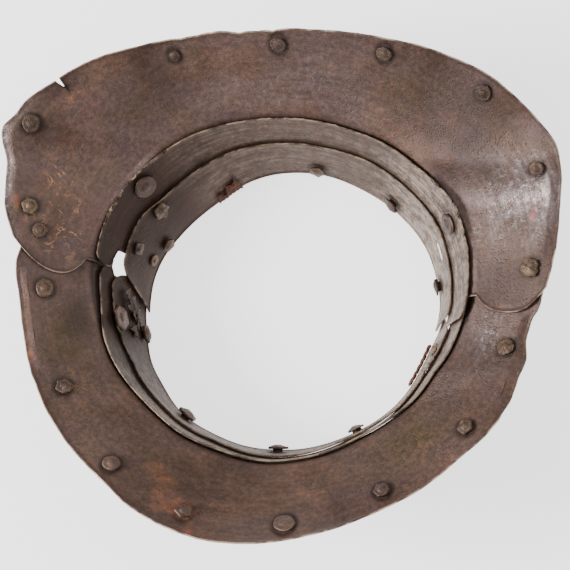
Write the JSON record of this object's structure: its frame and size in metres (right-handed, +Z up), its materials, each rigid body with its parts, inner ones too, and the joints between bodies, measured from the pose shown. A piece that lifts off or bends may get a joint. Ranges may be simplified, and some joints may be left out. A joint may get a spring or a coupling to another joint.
{
  "type": "steel gorget",
  "caption": "Hinged steel neck armour: broad riveted flange plates on an open collar of overlapping lames, lying on its neck rim.",
  "frame": {"origin": "under the middle of the whole, on the surface that it rests on, which is the neck rim of the collar turned down", "axes": "+Z up out of the neck hollow towards the flange, +X to the shoulder that opens, +Y to the half taken as the back"},
  "size_m": [0.2862, 0.2626, 0.0912],
  "materials": {
    "plate_steel": "dark brown tarnish with rust spots",
    "collar_steel": "worn grey steel with brown tarnish",
    "rivet_iron": "dark rusted iron",
    "old_leather": "dry red-brown leather"
  },
  "bodies": {
    "front_half": {"front_plate": "plate_steel", "front_collar_lame_upper": "collar_steel", "front_collar_lame_lower": "collar_steel", "pivot_rivet": "rivet_iron", "front_border_rivet_1": "rivet_iron", "front_border_rivet_2": "rivet_iron", "front_border_rivet_3": "rivet_iron", "front_border_rivet_4": "rivet_iron", "front_border_rivet_5": "rivet_iron", "front_border_rivet_6": "rivet_iron", "front_border_rivet_7": "rivet_iron", "front_border_rivet_8": "rivet_iron", "front_lame_rivet_pivot_side": "rivet_iron", "front_lame_rivet_open_side": "rivet_iron", "lining_rivet_5": "rivet_iron", "lining_rivet_6": "rivet_iron", "lining_rivet_7": "rivet_iron", "lining_rivet_8": "rivet_iron", "leather_remnant_front": "old_leather"},
    "back_half": {"back_plate": "plate_steel", "back_collar_lame_upper": "collar_steel", "back_collar_lame_lower": "collar_steel", "closing_stud": "rivet_iron", "back_border_rivet_1": "rivet_iron", "back_border_rivet_2": "rivet_iron", "back_border_rivet_3": "rivet_iron", "back_border_rivet_4": "rivet_iron", "back_border_rivet_5": "rivet_iron", "back_border_rivet_6": "rivet_iron", "back_border_rivet_7": "rivet_iron", "back_upper_lame_rivet_pivot_side": "rivet_iron", "back_upper_lame_rivet_open_side": "rivet_iron", "back_lower_lame_rivet_1": "rivet_iron", "back_lower_lame_rivet_2": "rivet_iron", "back_lower_lame_rivet_3": "rivet_iron", "lining_rivet_1": "rivet_iron", "lining_rivet_2": "rivet_iron", "lining_rivet_3": "rivet_iron", "lining_rivet_4": "rivet_iron", "leather_remnant_back": "old_leather"}
  },
  "joints": [
    {"name": "shoulder_pivot", "type": "hinge", "parent": "front_half", "child": "back_half", "pos_m": [-0.12309, 0.02254, 0.06556], "axis": [0.342, 0, 0.9397], "range_deg": [0, 32]}
  ]
}
